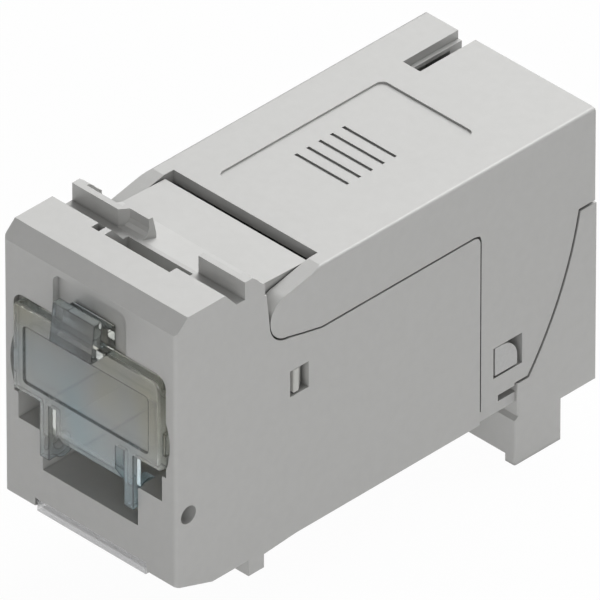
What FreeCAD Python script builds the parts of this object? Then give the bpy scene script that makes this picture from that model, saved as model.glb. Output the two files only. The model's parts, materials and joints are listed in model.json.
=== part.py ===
"""Shielded snap-in jack module with a hinged cover and a clear dust flap.

Frame: +X to the right seen from the front, -Y out of the front face, +Z up. The origin is the
centre of the panel cut-out, on the plane where the panel's rear face meets the two tabs.

Formulas for places count backwards from the front face and upwards from that face's lower edge.
Each is a stack of named steps, so a piece moves with whatever it stands on. Millimetres.
"""
import FreeCAD, Part
import os
import re
import Sketcher

os.makedirs("parts", exist_ok=True)
doc = FreeCAD.newDocument("jack_module")
V = FreeCAD.Vector

# Driving dimensions: alias, value, what it is
SIZES = [
    # Whole body
    ("body_width", 14.5, "over the side walls"),
    ("wall", 1.2, "side wall of the front housing"),
    ("seam", 0.09, "gap between the lid and the side walls' top"),
    ("rear_seam", 0.16, "gap between the lid and the side walls' rear"),
    ("corner_round", 0.45, "rounding of that corner"),
    ("sweep_seam", 0.14, "gap at the lid's curved rear edge"),
    ("play", 0.1, "clearance between fitted pieces"),
    ("running_play", 0.05, "radial clearance of both hinges"),
    ("bay_y", 12.9, "start of the bay for the terminals"),
    ("bay_length", 12.6, "length of that bay"),
    ("tail", 9.8, "lid behind the front housing"),
    # Panel grooves, tabs and hook
    ("stop_y", 5.75, "front face to the tabs' stop plane"),
    ("groove_rise", 0.81, "upper groove's floor over the lid's top"),
    ("groove_width", 1.65, "upper groove at its top"),
    ("ramp_run", 0.94, "ramp at the groove's front"),
    ("groove_depth", 1.09, "block top over the groove floor"),
    ("chin_drop", 1.0, "underside below the front face's edge"),
    ("chin_run", 3.0, "slope under the front face"),
    ("face_rise", 0.14, "top of the flat face over the groove floor"),
    ("block_chamfer", 1.0, "run of the chamfer over the face"),
    ("face_round", 0.3, "rounding of the front's upright edges"),
    ("hook_set", 0.25, "lower hook behind the stop plane"),
    ("hook_length", 1.3, "lower hook along Y"),
    ("hook_drop", 1.16, "lower hook below the underside"),
    ("belly_run", 2.7, "slope behind the hook"),
    ("belly_drop", 0.2, "height of that slope"),
    ("tab_rise", 1.24, "tabs above the groove floor"),
    ("tab_width", 3.9, "width of each tab"),
    ("tab_plate", 0.43, "thickness of the tab's plate"),
    ("tab_rib_width", 2.6, "thicker outer part of the tab"),
    ("tab_rib", 0.95, "thickness of that part's foot"),
    ("pillar_width", 0.8, "pillar at the tab's outer end"),
    ("pillar_depth", 1.25, "pillar along Y"),
    ("pillar_foot", 0.42, "spread of the pillar's foot"),
    ("gusset_width", 2.0, "inner part of the left tab"),
    ("gusset_set", 0.56, "how far it is set back"),
    ("gusset_round", 0.3, "hollow at its foot"),
    ("pocket_x", -3.05, "small pocket beside the roof slot"),
    ("pocket_size", 0.62, "its sides"),
    # Roof between the tabs and the lid
    ("roof_fall", 0.9, "roof below the groove floor"),
    ("roof_run", 2.85, "slope behind the tabs"),
    ("roof_tilt", 0.14, "further fall to the rear edge"),
    ("roof_back", 0.7, "roof ends before the bay"),
    ("roof_slot_x", 0.47, "slot's centre to the right"),
    ("roof_slot_width", 5.45, "slot in the groove floor"),
    ("roof_slot_length", 1.95, "that slot along Y"),
    ("roof_slot_rear", 0.3, "slot's rear edge before the stop plane"),
    ("roof_slot_depth", 1.6, "depth of that slot"),
    # Jack opening
    ("key_low_z", 2.95, "bottom of the latch slot"),
    ("key_height", 2.8, "height of the latch slot"),
    ("key_width", 8.03, "latch slot across"),
    ("key_back", 0.9, "latch slot ends before the bay"),
    ("port_height", 6.85, "jack opening's height"),
    ("port_lip", 1.8, "front lip over the contacts"),
    ("roof_gap", 0.55, "roof's underside over the carrier"),
    ("floor_top_z", 0.2, "top of the floor in the bay"),
    ("ledge_width", 0.7, "ledge under the circuit board"),
    ("ledge_height", 1.0, "height of that ledge"),
    ("strip_margin", 2.55, "strip slot in from each side"),
    ("strip_low_z", -0.35, "bottom of the strip slot"),
    ("strip_height", 0.93, "height of the strip slot"),
    ("strip_depth", 3.0, "depth of the strip slot"),
    ("window_lead", 3.4, "side window's front edge before the bay"),
    ("window_length", 1.55, "side window along Y"),
    ("window_lift", 3.35, "side window over the port's floor"),
    ("window_height", 1.87, "side window's height"),
    ("window_gap", 0.35, "open gap in front of the snap nub"),
    ("nub_flat", 0.4, "flat of the snap nub"),
    ("nub_inset", 0.06, "snap nub inside the side face"),
    # Recess around the dust flap
    ("recess_margin", 0.86, "recess in from each side"),
    ("recess_depth", 0.45, "depth of the recess"),
    ("recess_round", 0.8, "its corner radius"),
    ("scallop_lift", 1.8, "scallop's middle over the flap's lower edge"),
    ("scallop_half", 1.7, "half of a scallop's length"),
    ("scallop_bulge", 0.32, "how far it widens the recess"),
    ("scoop_width", 6.15, "thumb scoop across"),
    ("scoop_depth", 0.5, "depth of the thumb scoop"),
    ("scoop_round", 0.6, "its corner radius"),
    ("scoop_drop", 0.5, "its top below the top of the face"),
    # Lid
    ("hinge_lead", 3.45, "lid hinge before the bay"),
    ("hinge_rise", 1.1, "lid hinge over the roof's underside"),
    ("nose_r", 1.53, "round nose of the lid"),
    ("nose_gap", 0.12, "gap around the nose"),
    ("stub_d", 1.6, "hinge stubs on the lid"),
    ("stub_length", 1.15, "length of each stub"),
    ("lid_inset", 0.06, "lid's side faces inside the body's width"),
    ("lid_rise", 2.15, "lid's top over the hinge"),
    ("lid_plate", 0.87, "thickness of the lid's top"),
    ("lid_set", 0.1, "lid's front edge behind the bay's start"),
    ("lid_round", 0.25, "rounding of the lid's upper edges"),
    ("lid_rear_wall", 1.0, "thickness of its rear wall"),
    ("groin_drop", 2.3, "top of the side walls below the hinge"),
    ("rear_drop", 4.53, "rear wall's lower edge below the hinge"),
    ("rear_land", 1.4, "straight stretch of that edge"),
    ("flap_low_z", -0.15, "lower edge of the lid's side flaps"),
    ("sill_z", 0.37, "raised stretch of that edge"),
    ("sill_front", 1.6, "its start behind the front housing"),
    ("heel_z", 0.56, "lower edge over the rear housing"),
    ("label_margin", 3.35, "shallow field in from each side"),
    ("label_front", 1.5, "field behind the lid's front edge"),
    ("label_rear", 6.9, "field before the lid's rear face"),
    ("label_depth", 0.13, "depth of the field"),
    ("label_round", 0.5, "its corner radius"),
    ("notch_x", -3.62, "notch in the lid's rear edge"),
    ("notch_width", 1.45, "width of that notch"),
    ("notch_length", 4.7, "length of that notch"),
    ("notch_depth", 0.6, "depth of its shelf"),
    ("notch_shelf", 0.3, "width of that shelf"),
    ("notch_drop", 1.6, "depth beside the shelf"),
    ("motif_x", 4.4, "grip grooves across"),
    ("motif_y", 8.4, "their middle behind the lid's front edge"),
    ("motif_pitch", 1.0, "spacing of the grip grooves"),
    ("motif_width", 0.24, "width of a grip groove"),
    ("latch_front", 1.2, "latch window behind the front housing"),
    ("latch_land", 1.28, "wall between the window and the curved edge"),
    ("latch_low_z", 1.75, "bottom of the latch window"),
    ("latch_height", 2.2, "height of the latch window"),
    # Rear housing
    ("spigot", 1.3, "rear housing's reach into the front one"),
    ("shell_wall", 1.0, "its inner side walls"),
    ("shell_low_z", 0.28, "underside of its floor"),
    ("shell_floor", 0.87, "thickness of its floor"),
    ("shell_drop", 0.8, "its inner walls below the front housing's"),
    ("shell_proud", 0.06, "rear face behind the lid's"),
    ("shell_gap", 0.17, "gap over its rear wall"),
    ("face_back", 3.0, "its full-width part behind the front housing"),
    ("face_top_z", 0.42, "top of that part's front"),
    ("face_edge", 0.12, "rounding of that part's upright edges"),
    ("face_set", 0.25, "its upper part set back"),
    ("face_step_z", -2.0, "height of that step"),
    ("cheek_set", 0.25, "side cheeks inside the body's width"),
    ("cheek_lead", 0.25, "their gap to the front housing"),
    ("cheek_gap", 0.12, "their gap under the lid"),
    ("sole_z", -2.5, "underside at the rear"),
    ("foot_length", 3.9, "foot along Y"),
    ("foot_z", -5.5, "underside of the foot"),
    ("foot_rail", 0.8, "rail along each side of the foot"),
    ("foot_hollow", 0.55, "depth between the rails"),
    ("outlet_r", 3.6, "cable outlet"),
    ("outlet_drop", 0.09, "outlet's centre below the lid's rear edge"),
    # Latch clip
    ("nub_gap", 0.15, "gap in front of and under the latch nub"),
    ("nub_rear_gap", 0.42, "gap behind the latch nub"),
    ("nub_round", 1.35, "its rounded upper corner"),
    ("clip_sheet", 0.5, "thickness of the latch clip"),
    ("clip_height", 4.8, "height of its legs"),
    # Dust flap
    ("flap_hinge_y", 1.0, "its axis behind the face"),
    ("flap_hinge_drop", 0.88, "its axis below the port's floor"),
    ("flap_bore_d", 1.25, "bores for its trunnions"),
    ("flap_margin", 0.24, "gap around its plate"),
    ("plate_front_y", -0.36, "front of its plate"),
    ("plate", 0.71, "thickness of its plate"),
    ("plate_lift", 2.35, "its lower edge over the port's floor"),
    ("plate_height", 6.3, "height of its plate"),
    ("plate_round", 0.5, "its upper corners"),
    ("field_side", 0.9, "label field in from its sides"),
    ("field_low", 0.8, "label field over its lower edge"),
    ("field_height", 4.1, "height of the label field"),
    ("field_depth", 0.15, "depth of the label field"),
    ("grip_width", 3.5, "finger grip across"),
    ("grip_reach", 0.94, "grip in front of the plate"),
    ("grip_back", 0.05, "grip behind the plate"),
    ("grip_height", 2.5, "grip above the plate"),
    ("grip_rear_height", 1.7, "grip's rear wall above the plate"),
    ("grip_lip", 0.6, "thickness of the grip's lip"),
    ("grip_lean", 0.3, "forward lean of the lip's foot"),
    ("arm_outer", 7.85, "over its arms"),
    ("arm_width", 0.75, "each arm"),
    ("arm_boss_r", 0.95, "round end of each arm"),
    ("trunnion", 1.2, "length of each trunnion"),
    ("tongue_width", 5.0, "middle tongue"),
    ("tongue_drop", 2.6, "tongue below the plate"),
    ("tongue_bend", 1.6, "its bend below the plate"),
    ("tongue_back", 0.6, "how far its end leans back"),
    ("ear_height", 2.4, "ear of the flap in each scallop"),
    # Contact carrier and contacts
    ("carrier_set", 0.55, "carrier behind the front lip"),
    ("carrier_gap", 0.15, "carrier over the port"),
    ("carrier_plate", 0.7, "thickness of the carrier's plate"),
    ("carrier_wall", 0.8, "thickness of its rear wall"),
    ("comb_length", 2.9, "length of the comb's teeth"),
    ("comb_drop", 2.55, "height of the comb's teeth"),
    ("comb_tooth", 0.42, "thickness of a comb tooth"),
    ("cheek", 0.7, "carrier's side cheeks"),
    ("contact_pitch", 1.016, "contact spacing"),
    ("wire", 0.32, "contact wire"),
    ("tip_lead", 2.5, "contact's free end before the bay"),
    ("tip_drop", 2.2, "contact's free end below the carrier"),
    # Circuit board, terminals and wire presser
    ("board_lift", 0.45, "circuit board over the port's floor"),
    ("board", 1.0, "thickness of the circuit board"),
    ("board_back", 1.5, "board ends before the bay's end"),
    ("block_front", 1.3, "terminal block behind the bay's start"),
    ("block_back", 0.4, "terminal block before the board's end"),
    ("block_margin", 0.5, "terminal block in from the walls"),
    ("post_drop", 0.1, "its top below the side walls"),
    ("slot_lift", 2.0, "floor of the wire slots over the board"),
    ("wire_slot", 0.75, "wire slot"),
    ("post_edge", 0.65, "block outside the outer blades"),
    ("row_edge", 2.4, "rows of blades in from its ends"),
    ("blade", 0.4, "blade thickness"),
    ("blade_land", 1.0, "block between two blades"),
    ("blade_drop", 0.7, "blades below the block's top"),
    ("fork", 0.3, "wire gap in a blade"),
    ("presser_inset", 0.4, "wire presser inside the block's length"),
    ("presser_lift", 2.2, "its plate over the block"),
    ("fin", 0.5, "thickness of its fins"),
    ("fin_reach", 0.4, "its fins into the wire slots"),
    # Cable spring
    ("earth_width", 4.0, "width of the cable spring"),
    ("earth_sheet", 0.3, "its thickness"),
    ("earth_length", 4.6, "its length"),
    ("earth_rear", 1.1, "its end before the lid's rear face"),
    ("earth_rise", 4.05, "its crest over the floor"),
    ("earth_lap", 0.8, "flat at its rear end"),
]

sheet = doc.addObject("Spreadsheet::Sheet", "Dims")
for row, (alias, number, note) in enumerate(SIZES, start=1):
    sheet.set(f"A{row}", note)
    sheet.set(f"B{row}", str(number))
    sheet.setAlias(f"B{row}", alias)
doc.recompute()

# Places worked out from the sizes: depths behind the front face
FRONT_END = "(bay_y + bay_length)"
LID_REAR = f"({FRONT_END} + tail)"
LID_FRONT = "(bay_y + lid_set)"
ROOF_REAR = "(bay_y - roof_back)"
HINGE_Y = "(bay_y - hinge_lead)"
SHELL_REAR = f"({LID_REAR} + shell_proud)"
SHELL_FACE = f"({FRONT_END} + face_back)"
INSIDE_REAR = f"({LID_REAR} - lid_rear_wall)"
BOARD_END = f"({FRONT_END} - board_back)"
BLOCK_START = "(bay_y + block_front)"
BLOCK_END = f"({BOARD_END} - block_back)"
CARRIER_FRONT = "(port_lip + carrier_set)"
CARRIER_WALL = "(bay_y - carrier_wall)"
PLATE_REAR = "(plate_front_y + plate)"
WINDOW_Y = "(bay_y - window_lead)"

# Heights above the front face's lower edge
UNDERSIDE = "(-chin_drop)"
PORT_LOW = "(key_low_z + key_height)"
PORT_TOP = f"({PORT_LOW} + port_height)"
CARRIER_LOW = f"({PORT_TOP} + carrier_gap)"
CARRIER_TOP = f"({CARRIER_LOW} + carrier_plate)"
ROOF_UNDER = f"({CARRIER_TOP} + roof_gap)"
HINGE_Z = f"({ROOF_UNDER} + hinge_rise)"
LID_TOP = f"({HINGE_Z} + lid_rise)"
GROOVE_FLOOR = f"({LID_TOP} + groove_rise)"
BLOCK_TOP = f"({GROOVE_FLOOR} + groove_depth)"
TAB_TOP = f"({GROOVE_FLOOR} + tab_rise)"
FACE_TOP = f"({GROOVE_FLOOR} + face_rise)"
WALL_TOP = f"({HINGE_Z} - groin_drop)"
LID_REAR_Z = f"({HINGE_Z} - rear_drop)"
SHELL_REAR_Z = f"({LID_REAR_Z} - shell_gap)"
SHELL_FLOOR = "(shell_low_z + shell_floor)"
BOARD_LOW = f"({PORT_LOW} + board_lift)"
BOARD_TOP = f"({BOARD_LOW} + board)"
POST_TOP = f"({WALL_TOP} - post_drop)"
BLADE_TOP = f"({POST_TOP} - blade_drop)"
SLOT_FLOOR = f"({BOARD_TOP} + slot_lift)"
PRESSER_Z = f"({POST_TOP} + presser_lift)"
FLAP_HINGE_Z = f"({PORT_LOW} - flap_hinge_drop)"
PLATE_LOW = f"({PORT_LOW} + plate_lift)"
PLATE_TOP = f"({PLATE_LOW} + plate_height)"
WINDOW_Z = f"({PORT_LOW} + window_lift)"

# Distances from the middle plane
HALF = "body_width / 2"
BAY = "(body_width / 2 - wall)"
SHELL_IN = f"({BAY} - play - shell_wall)"
BLOCK_HALF = f"({BAY} - block_margin)"
BLADE_WIDTH = f"((2 * {BLOCK_HALF} - 2 * post_edge - 3 * blade_land) / 4)"
PITCH = f"({BLADE_WIDTH} + blade_land)"
FLAP_HALF = "(body_width / 2 - recess_margin - flap_margin)"

# Curved rear edge of the lid's side flaps, about the hinge
SWEEP = f"sqrt(pow({LID_REAR} - rear_land - {HINGE_Y}; 2) + pow(rear_drop; 2))"
SCALLOP_R = "((scallop_half * scallop_half + scallop_bulge * scallop_bulge) / (2 * scallop_bulge))"
LATCH_END = (f"({HINGE_Y} + sqrt(pow({SWEEP}; 2) - pow({HINGE_Z} - latch_low_z; 2))"
             " - latch_land)")
LATCH_START = f"({FRONT_END} + latch_front)"
NUB_START = f"({LATCH_START} + nub_gap)"
NUB_END = f"({LATCH_END} - nub_rear_gap)"

CUT = 1.0  # how far a cutting tool runs past the surface that it opens
LAP = 0.1  # how far pieces of one solid run into each other


def expr(text):
    """Turn plain aliases in a formula into references to the sheet."""
    return re.sub(r"(?<!\w)(?!sqrt|pow)[a-z]\w*", r"Dims.\g<0>", str(text))


def value(text):
    """The present value of a formula of aliases, in millimetres."""
    return float(sheet.evalExpression(expr(text)))


def depth(text):
    """A distance behind the front face, as a formula in the part's frame."""
    return f"({text}) - stop_y"


def height(text):
    """A height above the face's lower edge, as a formula in the part's frame."""
    return f"({text}) - ({GROOVE_FLOOR} - chin_drop) / 2"


def place(obj, x, y, z):
    """Bind an object's position to three formulas in the part's frame."""
    for letter, text in (("x", x), ("y", y), ("z", z)):
        obj.setExpression(f"Placement.Base.{letter}", expr(text))


def box(name, x, y, z):
    """A block between two formulas along each axis."""
    obj = doc.addObject("Part::Box", name)
    for side, (low, high) in (("Length", x), ("Width", y), ("Height", z)):
        obj.setExpression(side, expr(f"({high}) - ({low})"))
    place(obj, x[0], depth(y[0]), height(z[0]))
    return obj


def rod_x(name, radius, x, y, z):
    """A cylinder along X."""
    obj = doc.addObject("Part::Cylinder", name)
    obj.Placement = FreeCAD.Placement(V(), FreeCAD.Rotation(V(0, 1, 0), 90))
    obj.setExpression("Radius", expr(radius))
    obj.setExpression("Height", expr(f"({x[1]}) - ({x[0]})"))
    place(obj, x[0], depth(y), height(z))
    return obj


def rod_y(name, radius, x, y, z):
    """A cylinder along Y."""
    obj = doc.addObject("Part::Cylinder", name)
    obj.Placement = FreeCAD.Placement(V(), FreeCAD.Rotation(V(1, 0, 0), -90))
    obj.setExpression("Radius", expr(radius))
    obj.setExpression("Height", expr(f"({y[1]}) - ({y[0]})"))
    place(obj, x, depth(y[0]), height(z))
    return obj


def outline_pad(name, plane_role, corners, length):
    """A body with a closed outline on one of its planes, padded by a length."""
    body = doc.addObject("PartDesign::Body", name)
    sketch = body.newObject("Sketcher::SketchObject", name + "_sketch")
    plane = next(f for f in body.Origin.OriginFeatures if f.Role == plane_role)
    sketch.AttachmentSupport = (plane, [""])
    sketch.MapMode = "FlatFace"
    points = [V(value(across), value(up), 0) for across, up in corners]
    count = len(points)
    for i in range(count):
        sketch.addGeometry(Part.LineSegment(points[i], points[(i + 1) % count]), False)
    for i in range(count):
        sketch.addConstraint(Sketcher.Constraint("Coincident", i, 2, (i + 1) % count, 1))
    for i, (across, up) in enumerate(corners):
        for kind, text, now in (("DistanceX", across, points[i].x), ("DistanceY", up, points[i].y)):
            index = sketch.addConstraint(Sketcher.Constraint(kind, -1, 1, i, 1, now))
            sketch.setExpression(f"Constraints[{index}]", expr(text))
    pad = body.newObject("PartDesign::Pad", name + "_pad")
    pad.Profile = sketch
    pad.setExpression("Length", expr(length))
    body.Tip = pad
    return body


def prism(name, x, outline):
    """A side view padded along X: corners as (behind the face, above its edge)."""
    corners = [(depth(y), height(z)) for y, z in outline]
    body = outline_pad(name, "YZ_Plane", corners, f"({x[1]}) - ({x[0]})")
    body.setExpression("Placement.Base.x", expr(x[0]))
    return body


def prism_z(name, z, outline):
    """A plan padded upwards: corners as (from the middle, behind the face)."""
    corners = [(x, depth(y)) for x, y in outline]
    body = outline_pad(name, "XY_Plane", corners, f"({z[1]}) - ({z[0]})")
    body.setExpression("Placement.Base.z", expr(height(z[0])))
    return body


def fuse(name, shapes):
    """Several solids as one."""
    obj = doc.addObject("Part::MultiFuse", name)
    obj.Shapes = shapes
    obj.Refine = True
    return obj


def cut(name, base, tools):
    """A solid with several others taken out of it."""
    obj = doc.addObject("Part::Cut", name)
    obj.Base = base
    obj.Tool = tools[0] if len(tools) == 1 else fuse(name + "_tools", tools)
    obj.Refine = True
    return obj


def common(name, first, second):
    """What two solids share."""
    obj = doc.addObject("Part::Common", name)
    obj.Base = first
    obj.Tool = second
    return obj


def rounded(name, base, radius, wanted):
    """The base with the edges that pass a test rounded."""
    doc.recompute()
    edges = []
    for number, edge in enumerate(base.Shape.Edges, start=1):
        ends = [v.Point for v in edge.Vertexes]
        if len(ends) == 2 and wanted((ends[0] + ends[1]) / 2, (ends[1] - ends[0]).normalize()):
            edges.append((number, value(radius), value(radius)))
    obj = doc.addObject("Part::Fillet", name)
    obj.Base = base
    obj.Edges = edges
    return obj


def along(axis):
    """A test for edges that run along an axis."""
    return lambda middle, way: abs(abs(way.dot(axis)) - 1) < 1e-6


def rounded_slot(name, x, y, z, radius, top_only=False):
    """A block with its edges along Y rounded, all four or the upper two."""
    block = box(name + "_block", x, y, z)
    floor = value(height(z[1])) - 1e-3 if top_only else -1e6
    test = along(V(0, 1, 0))
    return rounded(name, block, radius, lambda middle, way: test(middle, way) and middle.z > floor)


def mid(width):
    """The two ends of a width centred on the part's middle plane."""
    return f"-({width}) / 2", f"({width}) / 2"


def side_span(side, inner, outer):
    """The X range between two distances from the middle, on one side."""
    return (inner, outer) if side > 0 else (f"-({outer})", f"-({inner})")


def side_x(side, distance):
    """A distance from the middle plane, on one side."""
    return distance if side > 0 else f"-({distance})"


SIDES = (("right", 1), ("left", -1))
nodes = {}


def keep(name, obj):
    """Hand an object in under a node's name."""
    obj.Label = name
    nodes[name] = obj


def make_housing_block():
    """The front housing's outside: panel grooves, hook, roof and side walls."""
    outline = [
        ("0", "0"),
        ("chin_run", UNDERSIDE),
        ("stop_y + hook_set", UNDERSIDE),
        ("stop_y + hook_set", f"{UNDERSIDE} - hook_drop"),
        ("stop_y + hook_set + hook_length", f"{UNDERSIDE} - hook_drop"),
        ("stop_y + hook_set + hook_length", f"{UNDERSIDE} - belly_drop"),
        ("stop_y + hook_set + hook_length + belly_run", UNDERSIDE),
        (FRONT_END, UNDERSIDE),
        (FRONT_END, f"{WALL_TOP} - corner_round"),
        (f"{FRONT_END} - 0.3 * corner_round", f"{WALL_TOP} - 0.3 * corner_round"),
        (f"{FRONT_END} - corner_round", WALL_TOP),
        (ROOF_REAR, WALL_TOP),
        (ROOF_REAR, f"{GROOVE_FLOOR} - roof_fall - roof_tilt"),
        ("stop_y + roof_run", f"{GROOVE_FLOOR} - roof_fall"),
        ("stop_y", GROOVE_FLOOR),
        ("stop_y - groove_width + ramp_run", GROOVE_FLOOR),
        ("stop_y - groove_width", BLOCK_TOP),
        ("block_chamfer", BLOCK_TOP),
        ("0", FACE_TOP),
    ]
    block = prism("housing_block", mid("body_width"), outline)
    front = value(depth("block_chamfer"))
    upright = along(V(0, 0, 1))
    return rounded("housing_rounded", block, "face_round",
                   lambda middle, way: upright(middle, way) and middle.y < front)


def make_tabs():
    """The two panel tabs, each with a plate, a thicker part and a pillar at its end."""
    low = f"{GROOVE_FLOOR} - roof_fall"
    crown = "tab_rise / 6"
    back = "stop_y + pillar_depth"
    pillar = [
        ("stop_y", low),
        ("stop_y", f"{TAB_TOP} - {crown}"),
        (f"stop_y + {crown}", TAB_TOP),
        ("stop_y + pillar_depth / 2", TAB_TOP),
        ("stop_y + pillar_depth * 0.8", f"{TAB_TOP} - 1.5 * {crown}"),
        (back, f"{TAB_TOP} - 3 * {crown}"),
        (f"{back} + pillar_foot", f"{TAB_TOP} - 4.7 * {crown}"),
        (f"{back} + pillar_foot", low),
    ]
    rib = [
        ("stop_y", low),
        ("stop_y", TAB_TOP),
        ("stop_y + tab_plate", TAB_TOP),
        ("stop_y + (tab_plate + tab_rib) / 2", f"{TAB_TOP} - 2 * {crown}"),
        ("stop_y + tab_rib", GROOVE_FLOOR),
        ("stop_y + tab_rib", low),
    ]
    gusset_front = "stop_y + gusset_set"
    gusset = [
        (gusset_front, TAB_TOP),
        (gusset_front, f"{GROOVE_FLOOR} + 2 * gusset_round"),
        (f"{gusset_front} - 0.3 * gusset_round", f"{GROOVE_FLOOR} + gusset_round"),
        (f"{gusset_front} - gusset_round", f"{GROOVE_FLOOR} + 0.3 * gusset_round"),
        (f"{gusset_front} - 2 * gusset_round", GROOVE_FLOOR),
        (f"{gusset_front} - 2 * gusset_round", low),
        (f"{gusset_front} + 2 * gusset_round", low),
        (f"{gusset_front} + 2 * gusset_round", GROOVE_FLOOR),
        (f"{gusset_front} + gusset_round", TAB_TOP),
    ]
    parts = []
    for label, side in SIDES:
        plate = side_span(side, f"{HALF} - tab_width", HALF)
        thick = side_span(side, f"{HALF} - tab_rib_width", HALF)
        end = side_span(side, f"{HALF} - pillar_width", HALF)
        parts.append(box("tab_plate_" + label, plate, ("stop_y", "stop_y + tab_plate"),
                         (low, TAB_TOP)))
        parts.append(prism("tab_rib_" + label, thick, rib))
        parts.append(prism("tab_pillar_" + label, end, pillar))
    inner = f"{HALF} - tab_width - gusset_width"
    joint = f"{HALF} - tab_width"
    parts.append(prism("tab_gusset", side_span(-1, inner, joint), gusset))
    turn = prism_z("tab_turn", (low, TAB_TOP), [
        (f"-({joint}) - {LAP}", "stop_y"),
        (f"-({joint})", "stop_y"),
        (f"-({joint}) + gusset_set * 0.7", gusset_front),
        (f"-({joint}) + gusset_set * 0.7", f"{gusset_front} + gusset_round"),
        (f"-({joint}) - {LAP}", f"{gusset_front} + gusset_round"),
    ])
    parts.append(turn)
    return parts


def lid_clearances():
    """Room for the lid's arms, their round noses and their stubs."""
    arm = [
        (f"{HINGE_Y} - nose_r - nose_gap", HINGE_Z),
        ("stop_y + pillar_depth + pillar_foot + play / 4", f"{TAB_TOP} - tab_rise * 0.78"),
        ("stop_y + pillar_depth + pillar_foot + play / 4", TAB_TOP),
        (f"{ROOF_REAR} + {CUT}", TAB_TOP),
        (f"{ROOF_REAR} + {CUT}", WALL_TOP),
        (ROOF_REAR, WALL_TOP),
        (f"{HINGE_Y} + nose_r * 0.75", f"{WALL_TOP} + 0.36"),
        (HINGE_Y, f"{HINGE_Z} - nose_r - nose_gap"),
    ]
    tools = []
    for label, side in SIDES:
        span = side_span(side, f"{BAY} - play", f"{HALF} + {CUT}")
        tools.append(prism("arm_clearance_" + label, span, arm))
        tools.append(rod_x("nose_clearance_" + label, "nose_r + nose_gap", span,
                           HINGE_Y, HINGE_Z))
        bore = side_span(side, f"{BAY} - stub_length - play", f"{HALF} + {CUT}")
        tools.append(rod_x("hinge_bore_" + label, "stub_d / 2 + running_play", bore,
                           HINGE_Y, HINGE_Z))
    return tools


def face_recesses():
    """The shallow recess around the dust flap, its finger scallops and the thumb scoop."""
    tools = [
        rounded_slot("flap_recess", mid("body_width - 2 * recess_margin"),
                     (f"-{CUT}", "recess_depth"),
                     (f"{PLATE_LOW} - 0.5", f"{PLATE_TOP} + 0.4"), "recess_round", True),
        rounded_slot("thumb_scoop", mid("scoop_width"), (f"-{CUT}", "scoop_depth"),
                     (f"{PLATE_TOP} - 0.1", f"{FACE_TOP} - scoop_drop"), "scoop_round", True),
    ]
    for label, side in SIDES:
        middle = f"{HALF} - recess_margin + scallop_bulge - {SCALLOP_R}"
        tools.append(rod_y("scallop_" + label, SCALLOP_R, side_x(side, middle),
                           (f"-{CUT}", "recess_depth"), f"{PLATE_LOW} + scallop_lift"))
    return tools


def make_front_housing():
    solid = fuse("housing_solid", [make_housing_block(), *make_tabs()])
    port = mid(f"2 * {BAY}")
    slot_rear = "stop_y - roof_slot_rear"
    tools = [
        box("port_mouth", port, (f"-{CUT}", f"bay_y + {CUT}"), (PORT_LOW, PORT_TOP)),
        box("port_roof", port, ("port_lip", f"bay_y + {CUT}"), (PORT_LOW, ROOF_UNDER)),
        box("key_slot", mid("key_width"), (f"-{CUT}", "bay_y - key_back"),
            ("key_low_z", f"{PORT_LOW} + {CUT}")),
        box("bay", port, ("bay_y", f"{FRONT_END} + {CUT}"), ("floor_top_z", ROOF_UNDER)),
        box("strip_slot", mid("body_width - 2 * strip_margin"), (f"-{CUT}", "strip_depth"),
            ("strip_low_z", "strip_low_z + strip_height")),
        box("roof_slot", ("roof_slot_x - roof_slot_width / 2", "roof_slot_x + roof_slot_width / 2"),
            (f"{slot_rear} - roof_slot_length", slot_rear),
            (f"{GROOVE_FLOOR} - roof_slot_depth", f"{BLOCK_TOP} + {CUT}")),
        box("roof_pocket", ("pocket_x - pocket_size / 2", "pocket_x + pocket_size / 2"),
            (f"{slot_rear} - roof_slot_length", f"{slot_rear} - roof_slot_length + pocket_size"),
            (f"{BLOCK_TOP} - 2 * pocket_size", f"{BLOCK_TOP} + {CUT}")),
        rod_x("flap_bore", "flap_bore_d / 2", mid(f"body_width + 2 * {CUT}"),
              "flap_hinge_y", FLAP_HINGE_Z),
        *face_recesses(),
        *lid_clearances(),
    ]
    for label, side in SIDES:
        tools.append(box("side_window_" + label, side_span(side, f"{BAY} - {CUT}", f"{HALF} + {CUT}"),
                         (WINDOW_Y, f"{WINDOW_Y} + window_length"),
                         (WINDOW_Z, f"{WINDOW_Z} + window_height")))
    pieces = [cut("housing_hollow", solid, tools)]
    for label, side in SIDES:
        pieces.append(box("ledge_" + label, side_span(side, f"{BAY} - ledge_width", f"{BAY} + {LAP}"),
                          ("bay_y", BOARD_END), (f"{BOARD_LOW} - ledge_height", BOARD_LOW)))
    keep("front_housing", fuse("front_housing_body", pieces))


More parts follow.
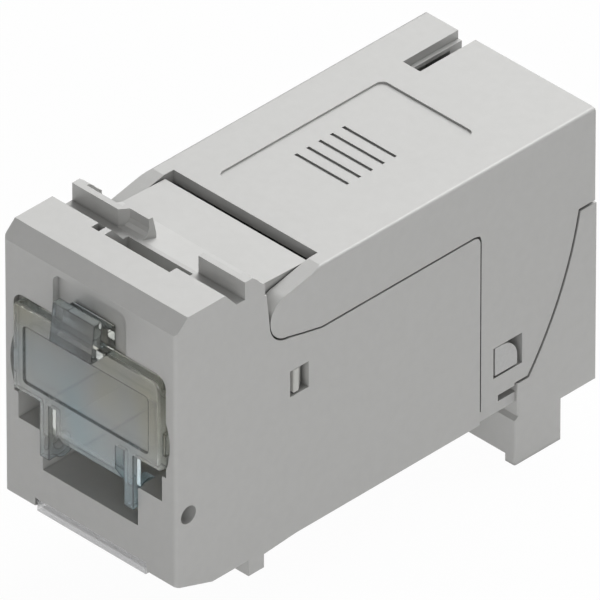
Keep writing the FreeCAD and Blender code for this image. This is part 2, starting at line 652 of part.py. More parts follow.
def make_rear_housing():
    outline = [
        (f"{SHELL_FACE} + face_set", SHELL_REAR_Z),
        (f"{SHELL_FACE} + face_set", "face_step_z"),
        (SHELL_FACE, "face_step_z - face_set"),
        (SHELL_FACE, "foot_z"),
        (f"{SHELL_FACE} + foot_length", "foot_z"),
        (f"{SHELL_FACE} + foot_length", "sole_z"),
        (SHELL_REAR, "sole_z"),
        (SHELL_REAR, SHELL_REAR_Z),
    ]
    block = prism("shell_block", mid("body_width"), outline)
    face = value(depth(f"{SHELL_FACE} + face_set")) + 1e-3
    upright = along(V(0, 0, 1))
    block = rounded("shell_rounded", block, "face_edge",
                    lambda middle, way: upright(middle, way) and middle.y < face)
    wide = mid(f"body_width + 2 * {CUT}")
    sweep = rod_x("shell_sweep", f"{SWEEP} + sweep_seam", wide, HINGE_Y, HINGE_Z)
    above = box("shell_above", wide, (f"{SHELL_FACE} - {CUT}", f"{SHELL_REAR} + {CUT}"),
                ("face_top_z", f"{SHELL_REAR_Z} + {CUT}"))
    rear_part = cut("shell_rear_part", block, [common("shell_swept", sweep, above)])
    inner = box("shell_channel", mid(f"2 * ({BAY} - play)"),
                (f"{FRONT_END} - spigot", f"{INSIDE_REAR} - 2 * play"),
                ("shell_low_z", f"{WALL_TOP} - shell_drop"))
    cheeks = box("shell_cheeks", mid("body_width - 2 * cheek_set"),
                 (f"{FRONT_END} + cheek_lead", f"{SHELL_FACE} + 2 * face_set"),
                 (UNDERSIDE, "flap_low_z - cheek_gap"))
    web = box("shell_web", mid(f"2 * ({BAY} - play)"),
              (f"{FRONT_END} + cheek_lead", f"{SHELL_FACE} + 2 * face_set"),
              (f"flap_low_z - cheek_gap - {LAP}", f"shell_low_z + {LAP}"))
    solid = fuse("shell_solid", [rear_part, inner, cheeks, web])
    tools = [
        box("shell_room", mid(f"2 * {SHELL_IN}"),
            (f"{FRONT_END} - spigot - {CUT}", f"{SHELL_REAR} - lid_rear_wall"),
            (SHELL_FLOOR, f"{WALL_TOP} + {CUT}")),
        rod_y("shell_outlet", "outlet_r", "0", (f"{SHELL_REAR} - 2", f"{SHELL_REAR} + {CUT}"),
              f"{LID_REAR_Z} - outlet_drop"),
        box("foot_hollow_cut", mid("body_width - 2 * foot_rail"),
            (f"{SHELL_FACE} - {CUT}", f"{SHELL_FACE} + foot_length + {CUT}"),
            (f"foot_z - {CUT}", "foot_z + foot_hollow")),
    ]
    for label, side in SIDES:
        span = side_span(side, f"{SHELL_IN} - {CUT}", f"{HALF} + {CUT}")
        tools.append(box("nub_window_" + label, span, (f"{NUB_START} - play", f"{NUB_END} + play"),
                         ("latch_low_z + nub_gap - play", "latch_low_z + latch_height + play")))
    keep("rear_housing", cut("rear_housing_body", solid, tools))


def make_lid():
    outline = [
        (f"{HINGE_Y} - nose_r * 0.15", f"{HINGE_Z} + nose_r * 0.985"),
        (ROOF_REAR, LID_TOP),
        (LID_REAR, LID_TOP),
        (LID_REAR, "heel_z"),
        (SHELL_FACE, "heel_z"),
        (SHELL_FACE, "sill_z"),
        (f"{FRONT_END} + sill_front", "sill_z"),
        (f"{FRONT_END} + sill_front", "flap_low_z"),
        (f"{FRONT_END} + rear_seam", "flap_low_z"),
        (f"{FRONT_END} + rear_seam", f"{WALL_TOP} - corner_round"),
        (f"{FRONT_END} - 0.3 * corner_round + rear_seam", f"{WALL_TOP} - 0.3 * corner_round + seam"),
        (f"{FRONT_END} - corner_round", f"{WALL_TOP} + seam"),
        (ROOF_REAR, f"{WALL_TOP} + seam"),
        (f"{HINGE_Y} + nose_r * 0.75", f"{WALL_TOP} + 0.36 + seam"),
        (f"{HINGE_Y} - nose_r * 0.1", f"{HINGE_Z} - nose_r * 0.99"),
        (HINGE_Y, HINGE_Z),
    ]
    width = "body_width - 2 * lid_inset"
    block = prism("lid_block", mid(width), outline)
    nose = rod_x("lid_nose", "nose_r", mid(width), HINGE_Y, HINGE_Z)
    wide = mid(f"body_width + 2 * {CUT}")
    below = box("lid_below", wide, (SHELL_FACE, f"{LID_REAR} + {CUT}"),
                (f"heel_z - {CUT}", LID_REAR_Z))
    sweep = rod_x("lid_sweep", SWEEP, mid(f"body_width + 4 * {CUT}"), HINGE_Y, HINGE_Z)
    solid = cut("lid_solid", fuse("lid_blank", [block, nose]), [cut("lid_outside", below, [sweep])])
    top = value(height(LID_TOP)) - 1e-3
    lengthwise = along(V(0, 1, 0))
    solid = rounded("lid_rounded", solid, "lid_round",
                    lambda middle, way: lengthwise(middle, way) and middle.z > top)
    room = mid(f"2 * {BAY}")
    notch = ("notch_x - notch_width / 2", "notch_x + notch_width / 2")
    tools = [
        box("lid_room", room, (f"{LID_FRONT} - {CUT}", INSIDE_REAR),
            (f"flap_low_z - {CUT}", f"{LID_TOP} - lid_plate")),
        box("lid_mouth", room, (f"{HINGE_Y} - nose_r - {CUT}", LID_FRONT),
            (f"flap_low_z - {CUT}", f"{LID_TOP} + {CUT}")),
        box("lid_rear_low", room, (f"{INSIDE_REAR} - {CUT}", f"{LID_REAR} + {CUT}"),
            (f"flap_low_z - {CUT}", LID_REAR_Z)),
        box("lid_notch", notch, (f"{LID_REAR} - notch_length", f"{LID_REAR} + {CUT}"),
            (f"{LID_TOP} - notch_depth", f"{LID_TOP} + {CUT}")),
        box("lid_notch_deep", (f"{notch[0]} + notch_shelf", notch[1]),
            (f"{LID_REAR} - notch_length", f"{LID_REAR} + {CUT}"),
            (f"{LID_TOP} - notch_drop", f"{LID_TOP} + {CUT}")),
        rod_y("lid_outlet", "outlet_r", "0", (f"{LID_REAR} - 2", f"{LID_REAR} + {CUT}"),
              f"{LID_REAR_Z} - outlet_drop"),
    ]
    label = box("label_block", mid("body_width - 2 * label_margin"),
                (f"{LID_FRONT} + label_front", f"{LID_REAR} - label_rear"),
                (f"{LID_TOP} - label_depth", f"{LID_TOP} + {CUT}"))
    tools.append(rounded("lid_label", label, "label_round", along(V(0, 0, 1))))
    for i in range(5):
        centre = f"{LID_FRONT} + motif_y + ({i - 2}) * motif_pitch"
        tools.append(box(f"grip_groove_{i + 1}", mid("motif_x"),
                         (f"{centre} - motif_width / 2", f"{centre} + motif_width / 2"),
                         (f"{LID_TOP} - 2 * label_depth", f"{LID_TOP} + {CUT}")))
    for name, side in SIDES:
        span = side_span(side, f"{BAY} - {CUT}", f"{HALF} + {CUT}")
        tools.append(box("latch_window_" + name, span, (LATCH_START, LATCH_END),
                         ("latch_low_z", "latch_low_z + latch_height")))
    pieces = [cut("lid_hollow", solid, tools)]
    for name, side in SIDES:
        pieces.append(rod_x("lid_stub_" + name, "stub_d / 2",
                            side_span(side, f"{BAY} - stub_length", f"{BAY} + {LAP}"),
                            HINGE_Y, HINGE_Z))
    keep("lid", fuse("lid_body", pieces))


def make_flap_plate():
    """The clear plate, with rounded upper corners and an ear in each scallop."""
    plate = box("flap_plate_block", mid(f"2 * {FLAP_HALF}"), ("plate_front_y", PLATE_REAR),
                (PLATE_LOW, PLATE_TOP))
    top = value(height(PLATE_TOP)) - 1e-3
    across = along(V(0, 1, 0))
    plate = rounded("flap_plate", plate, "plate_round",
                    lambda middle, way: across(middle, way) and middle.z > top)
    front = value(depth("plate_front_y")) + 1e-3
    plate = rounded("flap_plate_soft", plate, "flap_margin * 0.75",
                    lambda middle, way: middle.y < front)
    parts = [plate]
    for label, side in SIDES:
        span = side_span(side, f"{FLAP_HALF} - {LAP}", f"{FLAP_HALF} + scallop_bulge - play")
        centre = f"{PLATE_LOW} + scallop_lift"
        parts.append(box("flap_ear_" + label, span, ("plate_front_y + plate / 2", PLATE_REAR),
                         (f"{centre} - ear_height / 2 + 0.4", f"{centre} + ear_height / 2 - 0.4")))
    return parts


def make_dust_flap():
    grip_front = "plate_front_y - grip_reach"
    grip_rear = f"{PLATE_REAR} + grip_back"
    grip = prism("flap_grip", mid("grip_width"), [
        (f"{grip_front} - grip_lean", f"{PLATE_TOP} - {LAP}"),
        (grip_rear, f"{PLATE_TOP} - {LAP}"),
        (grip_rear, f"{PLATE_TOP} + grip_rear_height"),
        (f"{grip_rear} - grip_lip", f"{PLATE_TOP} + grip_rear_height"),
        (f"{grip_rear} - grip_lip", f"{PLATE_TOP} + grip_lip"),
        (f"{grip_front} + grip_lip - 0.1", f"{PLATE_TOP} + grip_lip"),
        (f"{grip_front} + grip_lip", f"{PLATE_TOP} + grip_height"),
        (grip_front, f"{PLATE_TOP} + grip_height"),
    ])
    tongue = prism("flap_tongue", mid("tongue_width"), [
        ("plate_front_y", f"{PLATE_LOW} + plate"),
        ("plate_front_y", f"{PLATE_LOW} - tongue_bend"),
        ("plate_front_y + tongue_back", f"{PLATE_LOW} - tongue_drop"),
        (f"{PLATE_REAR} + tongue_back", f"{PLATE_LOW} - tongue_drop"),
        (PLATE_REAR, f"{PLATE_LOW} - tongue_bend"),
        (PLATE_REAR, f"{PLATE_LOW} + plate"),
    ])
    parts = [*make_flap_plate(), grip, tongue]
    knee = "arm_boss_r * 0.7"
    for label, side in SIDES:
        span = side_span(side, "arm_outer / 2 - arm_width", "arm_outer / 2")
        parts.append(box("flap_arm_" + label, span, ("plate_front_y + 0.05", PLATE_REAR),
                         (FLAP_HINGE_Z, f"{PLATE_LOW} + plate")))
        parts.append(box("flap_knee_" + label, span, ("plate_front_y + 0.05", "flap_hinge_y"),
                         (f"{FLAP_HINGE_Z} - {knee}", f"{FLAP_HINGE_Z} + {knee}")))
        parts.append(rod_x("flap_boss_" + label, "arm_boss_r", span, "flap_hinge_y", FLAP_HINGE_Z))
        pin = side_span(side, f"arm_outer / 2 - {LAP}", "arm_outer / 2 + trunnion")
        parts.append(rod_x("flap_trunnion_" + label, "flap_bore_d / 2 - running_play", pin,
                           "flap_hinge_y", FLAP_HINGE_Z))
    solid = fuse("flap_solid", parts)
    field = box("flap_field", mid(f"2 * ({FLAP_HALF} - field_side)"),
                (f"plate_front_y - {CUT}", "plate_front_y + field_depth"),
                (f"{PLATE_LOW} + field_low", f"{PLATE_LOW} + field_low + field_height"))
    field = rounded("flap_field_soft", field, "field_depth * 2", along(V(0, 1, 0)))
    keep("dust_flap", cut("dust_flap_body", solid, [field]))


def make_insert():
    """The contact carrier: a plate, a rear wall, a comb and a snap nub on each side."""
    inner = mid(f"2 * ({BAY} - play)")
    comb_y = f"{CARRIER_WALL} - comb_length"
    parts = [
        box("insert_plate", inner, (CARRIER_FRONT, "bay_y"), (CARRIER_LOW, CARRIER_TOP)),
        box("insert_wall", inner, (CARRIER_WALL, "bay_y"), (f"{PORT_LOW} + play", CARRIER_TOP)),
    ]
    for i in range(9):
        centre = f"({i - 4}) * contact_pitch"
        parts.append(box(f"comb_tooth_{i + 1}",
                         (f"{centre} - comb_tooth / 2", f"{centre} + comb_tooth / 2"),
                         (comb_y, f"{CARRIER_WALL} + {LAP}"),
                         (f"{CARRIER_LOW} - comb_drop", f"{CARRIER_LOW} + {LAP}")))
    low = f"{WINDOW_Z} + play"
    high = f"{WINDOW_Z} + window_height - play"
    for label, side in SIDES:
        parts.append(box("cheek_" + label, side_span(side, f"{BAY} - play - cheek", f"{BAY} - play"),
                         (comb_y, "bay_y"), (low, CARRIER_TOP)))
        inside = side_x(side, f"{BAY} - play - {LAP}")
        outside = side_x(side, f"{HALF} - nub_inset")
        ramp = side_x(side, f"{BAY} + wall / 2")
        start = f"{WINDOW_Y} + window_gap"
        end = f"{WINDOW_Y} + window_length - play"
        plan = [(inside, start), (outside, start), (outside, f"{start} + nub_flat"),
                (ramp, end), (inside, end)]
        parts.append(prism_z("insert_nub_" + label, (low, high), plan))
    keep("jack_insert", fuse("jack_insert_body", parts))


def make_contact_springs():
    bend = f"{CARRIER_FRONT} - play"
    shelf = f"{CARRIER_TOP} + play"
    tip = "bay_y - tip_lead"
    leg = "bay_y + 2 * play"
    outline = [
        (tip, f"{CARRIER_LOW} - tip_drop"),
        (tip, f"{CARRIER_LOW} - tip_drop + wire"),
        (bend, CARRIER_LOW),
        (bend, shelf),
        (leg, shelf),
        (leg, BOARD_TOP),
        (f"{leg} + wire", BOARD_TOP),
        (f"{leg} + wire", f"{shelf} + wire"),
        (f"{bend} - wire", f"{shelf} + wire"),
        (f"{bend} - wire", f"{CARRIER_LOW} - wire * 0.4"),
    ]
    for i in range(8):
        name = f"contact_spring_{i + 1}"
        centre = f"({i - 3.5}) * contact_pitch"
        keep(name, prism(name + "_body", (f"{centre} - wire / 2", f"{centre} + wire / 2"), outline))


def make_terminals():
    """The board, the slotted block and its eight forked blades."""
    keep("circuit_board", box("board_blank", mid(f"2 * ({BAY} - play)"),
                              ("bay_y + play", BOARD_END), (BOARD_LOW, BOARD_TOP)))
    solid = box("block_blank", mid(f"2 * {BLOCK_HALF}"), (BLOCK_START, BLOCK_END),
                (BOARD_TOP, POST_TOP))
    tools = []
    for column in range(4):
        centre = f"({column - 1.5}) * {PITCH}"
        tools.append(box(f"wire_slot_{column + 1}",
                         (f"{centre} - wire_slot / 2", f"{centre} + wire_slot / 2"),
                         (f"{BLOCK_START} - {CUT}", f"{BLOCK_END} + {CUT}"),
                         (SLOT_FLOOR, f"{POST_TOP} + {CUT}")))
        for line, row_y in enumerate((f"{BLOCK_START} + row_edge", f"{BLOCK_END} - row_edge")):
            number = column + 1 + 4 * line
            gap = "(blade / 2 + play / 2)"
            half = f"({BLADE_WIDTH} / 2 + play)"
            tools.append(box(f"blade_slot_{number}", (f"{centre} - {half}", f"{centre} + {half}"),
                             (f"{row_y} - {gap}", f"{row_y} + {gap}"),
                             (f"{BOARD_TOP} - {CUT}", f"{POST_TOP} + {CUT}")))
            plate = box(f"blade_blank_{number}",
                        (f"{centre} - {BLADE_WIDTH} / 2", f"{centre} + {BLADE_WIDTH} / 2"),
                        (f"{row_y} - blade / 2", f"{row_y} + blade / 2"),
                        (BOARD_TOP, BLADE_TOP))
            fork = box(f"blade_fork_{number}", (f"{centre} - fork / 2", f"{centre} + fork / 2"),
                       (f"{row_y} - blade", f"{row_y} + blade"),
                       (SLOT_FLOOR, f"{BLADE_TOP} + {CUT}"))
            keep(f"terminal_blade_{number}", cut(f"terminal_blade_{number}_body", plate, [fork]))
    keep("terminal_block", cut("terminal_block_body", solid, tools))


def make_wire_presser():
    """The comb under the lid that pushes the conductors into the blades."""
    y_span = (f"{BLOCK_START} + presser_inset", f"{BLOCK_END} - presser_inset")
    parts = [box("presser_plate", mid(f"2 * {BLOCK_HALF}"), y_span,
                 (PRESSER_Z, f"{LID_TOP} - lid_plate"))]
    for column in range(4):
        centre = f"({column - 1.5}) * {PITCH}"
        parts.append(box(f"presser_fin_{column + 1}", (f"{centre} - fin / 2", f"{centre} + fin / 2"),
                         y_span, (f"{POST_TOP} - fin_reach", f"{PRESSER_Z} + {LAP}")))
    keep("wire_presser", fuse("wire_presser_body", parts))


def make_latch_clip():
    """A sprung strap across the rear housing's floor, with a nub for each of the lid's windows."""
    leg_y = (NUB_START, NUB_END)
    parts = [box("clip_base", mid(f"2 * {SHELL_IN}"), leg_y,
                 (SHELL_FLOOR, f"{SHELL_FLOOR} + clip_sheet"))]
    nub_z = ("latch_low_z + nub_gap", "latch_low_z + latch_height - 0.05")
    top = value(height(nub_z[1])) - 1e-3
    rear = value(depth(NUB_END)) - 1e-3
    across = along(V(1, 0, 0))
    for label, side in SIDES:
        parts.append(box("clip_leg_" + label, side_span(side, f"{SHELL_IN} - clip_sheet", SHELL_IN),
                         leg_y, (SHELL_FLOOR, f"{SHELL_FLOOR} + clip_height")))
        nub = box("clip_nub_block_" + label,
                  side_span(side, f"{SHELL_IN} - {LAP}", f"{HALF} - lid_inset"), leg_y, nub_z)
        parts.append(rounded("clip_nub_" + label, nub, "nub_round",
                             lambda m, way: across(m, way) and m.z > top and m.y > rear))
    keep("latch_clip", fuse("latch_clip_body", parts))


def make_small_parts():
    keep("marker_strip", box("marker_strip_body", mid("body_width - 2 * strip_margin - 2 * play"),
                             ("play / 2", "strip_depth - play"),
                             ("strip_low_z", "strip_low_z + strip_height - play")))
    rear = f"({LID_REAR} - earth_rear)"
    front = f"({rear} - earth_length)"
    crest = f"({front} + earth_length / 2)"
    keep("cable_spring", prism("cable_spring_body", mid("earth_width"), [
        (front, SHELL_FLOOR),
        (crest, f"{SHELL_FLOOR} + earth_rise - earth_sheet"),
        (f"{rear} - earth_lap", f"{SHELL_FLOOR} + earth_sheet"),
        (rear, f"{SHELL_FLOOR} + earth_sheet"),
        (rear, SHELL_FLOOR),
        (f"{rear} - earth_lap - 0.2", SHELL_FLOOR),
        (crest, f"{SHELL_FLOOR} + earth_rise - 3 * earth_sheet"),
        (f"{front} + 0.4", SHELL_FLOOR),
    ]))


make_front_housing()
make_rear_housing()
make_lid()
make_dust_flap()
make_insert()
make_contact_springs()
make_terminals()
make_wire_presser()
make_latch_clip()
make_small_parts()
doc.recompute()

for obj in doc.Objects:
    if "Invalid" in obj.State or "Error" in obj.State:
        raise RuntimeError(f"{obj.Label} failed to build: {obj.State}")
for name, obj in nodes.items():
    shape = obj.Shape
    if shape.isNull() or not shape.isValid() or len(shape.Solids) != 1:
        raise RuntimeError(f"{name} is not one valid solid ({len(shape.Solids)} solids)")
for name, obj in nodes.items():
    obj.Shape.exportStep(f"parts/{name}.step")
print(len(nodes), "nodes written")
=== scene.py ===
"""Looks, light and camera for the shielded snap-in jack module with a clear dust flap."""
import json
import math

import bpy
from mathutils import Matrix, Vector


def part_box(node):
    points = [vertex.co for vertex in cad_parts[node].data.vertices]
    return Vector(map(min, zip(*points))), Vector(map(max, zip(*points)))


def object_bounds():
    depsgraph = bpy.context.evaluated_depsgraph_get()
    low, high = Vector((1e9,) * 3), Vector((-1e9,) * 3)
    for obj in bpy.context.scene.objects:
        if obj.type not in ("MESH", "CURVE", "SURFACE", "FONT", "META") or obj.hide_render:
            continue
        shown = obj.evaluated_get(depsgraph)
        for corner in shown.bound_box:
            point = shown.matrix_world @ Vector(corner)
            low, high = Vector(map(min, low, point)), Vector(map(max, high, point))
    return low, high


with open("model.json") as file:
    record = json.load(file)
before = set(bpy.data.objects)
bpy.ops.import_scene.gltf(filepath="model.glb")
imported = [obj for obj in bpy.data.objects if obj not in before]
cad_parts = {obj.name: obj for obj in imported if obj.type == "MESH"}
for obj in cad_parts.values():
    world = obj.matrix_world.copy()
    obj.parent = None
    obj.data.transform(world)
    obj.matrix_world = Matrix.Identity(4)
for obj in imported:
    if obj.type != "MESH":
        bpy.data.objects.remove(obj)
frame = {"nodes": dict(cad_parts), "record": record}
cad_box = [list(corner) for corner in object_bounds()]

MM = 0.001

# The photograph's frame: an isometric view, 600 pixels across 35.71 mm of the object
AZIMUTH = math.radians(45)
ELEVATION = math.atan(1 / math.sqrt(2))
FRAME_WIDTH = 35.71 * MM
AIM = Vector((0, 11.82 * MM, -0.02 * MM))

# A longer lens would put the camera of the other views past their clipping distance
SENSOR = 36.0
LENS = 1600.0
CLIP_NEAR = 0.2
CLIP_FAR = 20

# Places on the flap, from its top down
GRIP_HEIGHT = 2.5 * MM
GRIP_BLEND = 0.3 * MM
HAZE_DEPTH = 6.0 * MM

# Samples of the nodes that feel their way round a point, and where noise turns into colour
PROBES = 8
NOISE_LOW = 0.3
NOISE_HIGH = 0.7

# The small pieces whose edges are rounded off in their meshes
SMALL = ("cable_spring", "circuit_board", "jack_insert", "latch_clip", "marker_strip",
         "terminal_block", "wire_presser")
EDGE = 0.05 * MM
SAME_POINT = EDGE / 500
SHARP = math.radians(35)

# The floor lies just under the foot, and the camera sees nearly all of it as plain white
FLOOR_SIZE = 40
FLOOR_GAP = 0.02 * MM
FLOOR_WHITE = 0.97
SKY_LIGHT = 0.01
WHITE = (1, 1, 1, 1)


def material(name):
    """A new node material and its shader."""
    mat = bpy.data.materials.new(name)
    mat.use_nodes = True
    return mat, mat.node_tree.nodes["Principled BSDF"]


def add(mat, kind, **sockets):
    """A node in the material, with some of its inputs set."""
    node = mat.node_tree.nodes.new(kind)
    for key, setting in sockets.items():
        node.inputs[key.replace("_", " ")].default_value = setting
    return node


def link(mat, source, target):
    """Join an output to an input."""
    mat.node_tree.links.new(source, target)


def object_noise(mat, scale, detail=3.0, stretch=(1, 1, 1)):
    """Noise fixed to the object, with its scale in waves per metre."""
    place = mat.node_tree.nodes.new("ShaderNodeTexCoord")
    mapping = mat.node_tree.nodes.new("ShaderNodeMapping")
    mapping.inputs["Scale"].default_value = stretch
    noise = add(mat, "ShaderNodeTexNoise", Scale=scale, Detail=detail)
    link(mat, place.outputs["Object"], mapping.inputs["Vector"])
    link(mat, mapping.outputs["Vector"], noise.inputs["Vector"])
    return noise.outputs["Fac"]


def tint(mat, factor, low, high, middle=None):
    """A colour that follows a factor from one tone to another, through a middle if given."""
    ramp = mat.node_tree.nodes.new("ShaderNodeValToRGB")
    stops = ramp.color_ramp.elements
    stops[0].position = NOISE_LOW
    stops[1].position = NOISE_HIGH
    stops[0].color = (*low, 1)
    stops[1].color = (*high, 1)
    if middle:
        stops.new((NOISE_LOW + NOISE_HIGH) / 2).color = (*middle, 1)
    link(mat, factor, ramp.inputs["Fac"])
    return ramp.outputs["Color"]


def mapped(mat, factor, low, high, start, end):
    """A factor between two levels, stretched to run from start to end and held there."""
    node = add(mat, "ShaderNodeMapRange", From_Min=low, From_Max=high, To_Min=start, To_Max=end)
    link(mat, factor, node.inputs["Value"])
    return node.outputs["Result"]


def darkened(mat, colour, factor, low, high, darkest):
    """A colour that stays at a factor's upper level and darkens to a share at its lower one."""
    scale = mat.node_tree.nodes.new("ShaderNodeVectorMath")
    scale.operation = "SCALE"
    link(mat, colour, scale.inputs[0])
    link(mat, mapped(mat, factor, low, high, darkest, 1.0), scale.inputs["Scale"])
    return scale.outputs["Vector"]


def crevices(mat, distance):
    """How open the surface is within a short distance, from 0 in a gap to 1."""
    node = add(mat, "ShaderNodeAmbientOcclusion", Distance=distance)
    node.samples = PROBES
    return node.outputs["AO"]


def flatness(mat, radius):
    """1 on flat areas and less near edges, from how far a rounding would turn the surface."""
    soft = add(mat, "ShaderNodeBevel", Radius=radius)
    soft.samples = PROBES
    true = mat.node_tree.nodes.new("ShaderNodeNewGeometry")
    dot = mat.node_tree.nodes.new("ShaderNodeVectorMath")
    dot.operation = "DOT_PRODUCT"
    link(mat, soft.outputs["Normal"], dot.inputs[0])
    link(mat, true.outputs["Normal"], dot.inputs[1])
    return dot.outputs["Value"]


def bump(mat, shader, factor, distance, strength=1.0):
    """A bump of a given height in metres."""
    node = add(mat, "ShaderNodeBump", Strength=strength, Distance=distance)
    link(mat, factor, node.inputs["Height"])
    link(mat, node.outputs["Normal"], shader.inputs["Normal"])


def by_height(mat, low, high, start, end):
    """A value that runs from start at one height on the object to end at another."""
    place = mat.node_tree.nodes.new("ShaderNodeTexCoord")
    parts = mat.node_tree.nodes.new("ShaderNodeSeparateXYZ")
    link(mat, place.outputs["Object"], parts.inputs["Vector"])
    return mapped(mat, parts.outputs["Z"], low, high, start, end)


def cast_metal():
    """Fine-blasted die-cast zinc: satin, light grey, with a faint mottle, and painted shade
    darkening the colour in gaps.
    """
    mat, shader = material("cast_metal")
    mottle = object_noise(mat, 1400, 4.0)
    colour = tint(mat, mottle, (0.485, 0.484, 0.474), (0.5, 0.499, 0.489))
    # Painted shade: the base colour darkens to 28 % where ambient occlusion finds a gap within
    # 0.55 mm, in seams, slots and corners.
    link(mat, darkened(mat, colour, crevices(mat, 0.55 * MM), 0.1, 0.7, 0.28),
         shader.inputs["Base Color"])
    shader.inputs["Metallic"].default_value = 0.25
    rough = mapped(mat, object_noise(mat, 2500, 2.0), NOISE_LOW, NOISE_HIGH, 0.48, 0.52)
    link(mat, rough, shader.inputs["Roughness"])
    bump(mat, shader, object_noise(mat, 9000, 2.0), 0.004 * MM, 0.5)
    return mat


def clear_plastic():
    """Clear polycarbonate: painted shade darkening the grip and the edges, a faint haze further
    down, cool and warm tints.
    """
    mat, shader = material("clear_plastic")
    grip_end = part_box("dust_flap")[1][2] - GRIP_HEIGHT
    flow = object_noise(mat, 230, 1.0, (1, 1, 0.6))
    colour = tint(mat, flow, (0.77, 0.91, 0.96), (0.94, 0.93, 0.79), (0.89, 0.92, 0.92))
    # Painted shade: the colour darkens to 4 % at the edges, standing in for the dark lines that
    # refraction draws along a clear piece's edges.
    colour = darkened(mat, colour, flatness(mat, 0.2 * MM), 0.8, 0.99, 0.04)
    # Painted shade: above the grip's lower end the colour is darkened to 58 %, standing in for
    # the dark look of the thick clear grip.
    below_grip = by_height(mat, grip_end + GRIP_BLEND, grip_end, 0.0, 1.0)
    link(mat, darkened(mat, colour, below_grip, 0.0, 1.0, 0.58), shader.inputs["Base Color"])
    clearness = by_height(mat, grip_end, grip_end - HAZE_DEPTH, 0.97, 0.82)
    link(mat, clearness, shader.inputs["Transmission Weight"])
    shader.inputs["IOR"].default_value = 1.5
    shader.inputs["Roughness"].default_value = 0.04
    bump(mat, shader, object_noise(mat, 400, 1.0), 0.01 * MM, 0.2)
    return mat


def clear_strip():
    """The thin clear label strip, hazier than the flap and with fine lines along it."""
    mat, shader = material("clear_strip")
    lines = object_noise(mat, 3000, 2.0, (0.05, 1, 1))
    colour = tint(mat, lines, (0.86, 0.87, 0.88), (0.96, 0.965, 0.97))
    # Painted shade: the colour darkens to 30 % at the edges, standing in for the dark lines
    # that refraction draws along the strip's edges.
    link(mat, darkened(mat, colour, flatness(mat, 0.1 * MM), 0.8, 0.99, 0.3),
         shader.inputs["Base Color"])
    shader.inputs["Transmission Weight"].default_value = 0.6
    shader.inputs["IOR"].default_value = 1.5
    shader.inputs["Roughness"].default_value = 0.1
    shader.inputs["Alpha"].default_value = 0.6
    bump(mat, shader, lines, 0.01 * MM, 0.4)
    return mat


def plastic(name, low, high, roughness, grain):
    """Moulded plastic with a fine spark-eroded grain."""
    mat, shader = material(name)
    link(mat, tint(mat, object_noise(mat, 400, 3.0), low, high), shader.inputs["Base Color"])
    shader.inputs["Roughness"].default_value = roughness
    bump(mat, shader, object_noise(mat, grain, 2.0), 0.006 * MM, 0.6)
    return mat


def metal(name, low, high, roughness, stretch, metallic=1.0):
    """Rolled strip, with its rolling lines along one axis."""
    mat, shader = material(name)
    lines = object_noise(mat, 6000, 2.0, stretch)
    link(mat, tint(mat, lines, low, high), shader.inputs["Base Color"])
    shader.inputs["Metallic"].default_value = metallic
    shader.inputs["Roughness"].default_value = roughness
    bump(mat, shader, lines, 0.002 * MM, 0.4)
    return mat


def finish_for_slots():
    """One material for each material slot of the record."""
    return {
        "cast_housing": cast_metal(),
        "clear_plastic": clear_plastic(),
        "dark_plastic": plastic("dark_plastic", (0.035, 0.035, 0.038), (0.05, 0.05, 0.054),
                                0.5, 8000),
        "pale_plastic": plastic("pale_plastic", (0.6, 0.6, 0.57), (0.66, 0.66, 0.63),
                                0.45, 8000),
        "board": plastic("board_mask", (0.02, 0.11, 0.05), (0.03, 0.14, 0.07),
                         0.3, 5000),
        "contact_gold": metal("gold_plate", (0.8, 0.58, 0.24), (0.88, 0.66, 0.3),
                              0.2, (1, 0.1, 1)),
        "tinned_bronze": metal("tin_plate", (0.66, 0.65, 0.62), (0.74, 0.73, 0.7),
                               0.28, (1, 1, 0.1)),
        "spring_steel": metal("spring_steel", (0.46, 0.46, 0.455), (0.5, 0.5, 0.495),
                              0.5, (0.1, 1, 1), 0.4),
    }


def dress():
    """Give every node its material, and the small pieces slightly rounded edges."""
    finishes = finish_for_slots()
    strip = clear_strip()
    slots = {s["node"]: s["material_slot"] for s in frame["record"]["subparts"]}
    for name, node in frame["nodes"].items():
        finish = strip if name == "marker_strip" else finishes[slots[name]]
        node.data.materials.clear()
        node.data.materials.append(finish)
        if name not in SMALL:
            continue
        weld = node.modifiers.new("weld", "WELD")
        weld.merge_threshold = SAME_POINT
        bevel = node.modifiers.new("edges", "BEVEL")
        bevel.width = EDGE
        bevel.segments = 2
        bevel.limit_method = "ANGLE"
        bevel.angle_limit = SHARP


def seen_directly(tree, share):
    """A share for rays from the camera, a reflection or a clear piece, and none for light."""
    path = tree.nodes.new("ShaderNodeLightPath")
    total = path.outputs["Is Camera Ray"]
    for kind in ("Is Glossy Ray", "Is Transmission Ray"):
        both = tree.nodes.new("ShaderNodeMath")
        both.operation = "MAXIMUM"
        tree.links.new(total, both.inputs[0])
        tree.links.new(path.outputs[kind], both.inputs[1])
        total = both.outputs["Value"]
    scaled = tree.nodes.new("ShaderNodeMath")
    scaled.operation = "MULTIPLY"
    scaled.inputs[1].default_value = share
    tree.links.new(total, scaled.inputs[0])
    return scaled.outputs["Value"]


def build_floor():
    """A wide pale floor under the foot, which keeps a faint shadow."""
    level = cad_box[0][2] - FLOOR_GAP
    bpy.ops.mesh.primitive_plane_add(size=FLOOR_SIZE, location=(0, 0, level))
    floor = bpy.context.object
    floor.name = "floor"
    mat, shader = material("floor_white")
    tree = mat.node_tree
    shader.inputs["Base Color"].default_value = (0.9, 0.9, 0.9, 1)
    shader.inputs["Roughness"].default_value = 1.0
    white = tree.nodes.new("ShaderNodeEmission")
    white.inputs["Strength"].default_value = 1.0
    mix = tree.nodes.new("ShaderNodeMixShader")
    tree.links.new(seen_directly(tree, FLOOR_WHITE), mix.inputs["Fac"])
    tree.links.new(shader.outputs["BSDF"], mix.inputs[1])
    tree.links.new(white.outputs["Emission"], mix.inputs[2])
    tree.links.new(mix.outputs["Shader"], tree.nodes["Material Output"].inputs["Surface"])
    floor.data.materials.append(mat)


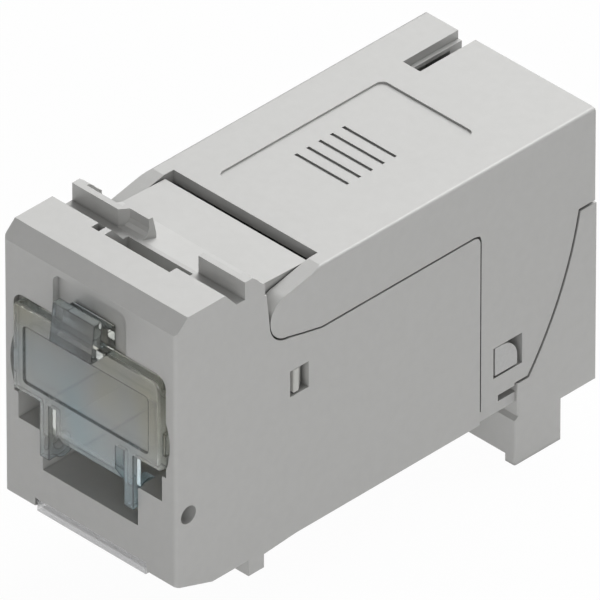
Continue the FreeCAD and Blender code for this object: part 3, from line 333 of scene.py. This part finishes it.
def build_world():
    """A sky that hardly lights the object and shows as white behind it."""
    world = bpy.data.worlds.new("studio")
    bpy.context.scene.world = world
    world.use_nodes = True
    tree = world.node_tree
    tree.nodes.clear()
    out = tree.nodes.new("ShaderNodeOutputWorld")
    soft = tree.nodes.new("ShaderNodeBackground")
    soft.inputs["Color"].default_value = WHITE
    soft.inputs["Strength"].default_value = SKY_LIGHT
    white = tree.nodes.new("ShaderNodeBackground")
    white.inputs["Color"].default_value = WHITE
    white.inputs["Strength"].default_value = 1.0
    mix = tree.nodes.new("ShaderNodeMixShader")
    tree.links.new(seen_directly(tree, 1.0), mix.inputs["Fac"])
    tree.links.new(soft.outputs["Background"], mix.inputs[1])
    tree.links.new(white.outputs["Background"], mix.inputs[2])
    tree.links.new(mix.outputs["Shader"], out.inputs["Surface"])


def area_light(name, direction, distance, size, power):
    """A square soft light aimed at the object's middle."""
    data = bpy.data.lights.new(name, "AREA")
    data.shape = "SQUARE"
    data.size = size
    data.energy = power
    lamp = bpy.data.objects.new(name, data)
    bpy.context.collection.objects.link(lamp)
    aim = Vector(direction).normalized()
    lamp.location = AIM + aim * distance
    lamp.rotation_euler = aim.to_track_quat("Z", "Y").to_euler()


def build_lights():
    """A broad light behind and above, a small key beside it and one near the camera."""
    area_light("behind", (-0.1, 1.0, 0.9), 0.60, 0.6, 3.9)
    area_light("key", (-0.7, 0.75, 1.1), 0.30, 0.22, 0.1)
    area_light("near_camera", (0.93, -1.0, 0.3), 0.30, 0.3, 0.54)


def build_camera():
    """A very long lens, so that the view is nearly parallel."""
    data = bpy.data.cameras.new("camera")
    data.sensor_width = SENSOR
    data.lens = LENS
    distance = FRAME_WIDTH * LENS / SENSOR
    data.clip_start = distance * CLIP_NEAR
    data.clip_end = distance * CLIP_FAR
    camera = bpy.data.objects.new("camera", data)
    bpy.context.collection.objects.link(camera)
    back = Vector((math.sin(AZIMUTH) * math.cos(ELEVATION),
                   -math.cos(AZIMUTH) * math.cos(ELEVATION),
                   math.sin(ELEVATION)))
    camera.location = AIM + back * distance
    camera.rotation_euler = back.to_track_quat("Z", "Y").to_euler()
    bpy.context.scene.camera = camera


bpy.context.scene.view_settings.view_transform = "Standard"
dress()
build_floor()
build_world()
build_lights()
build_camera()
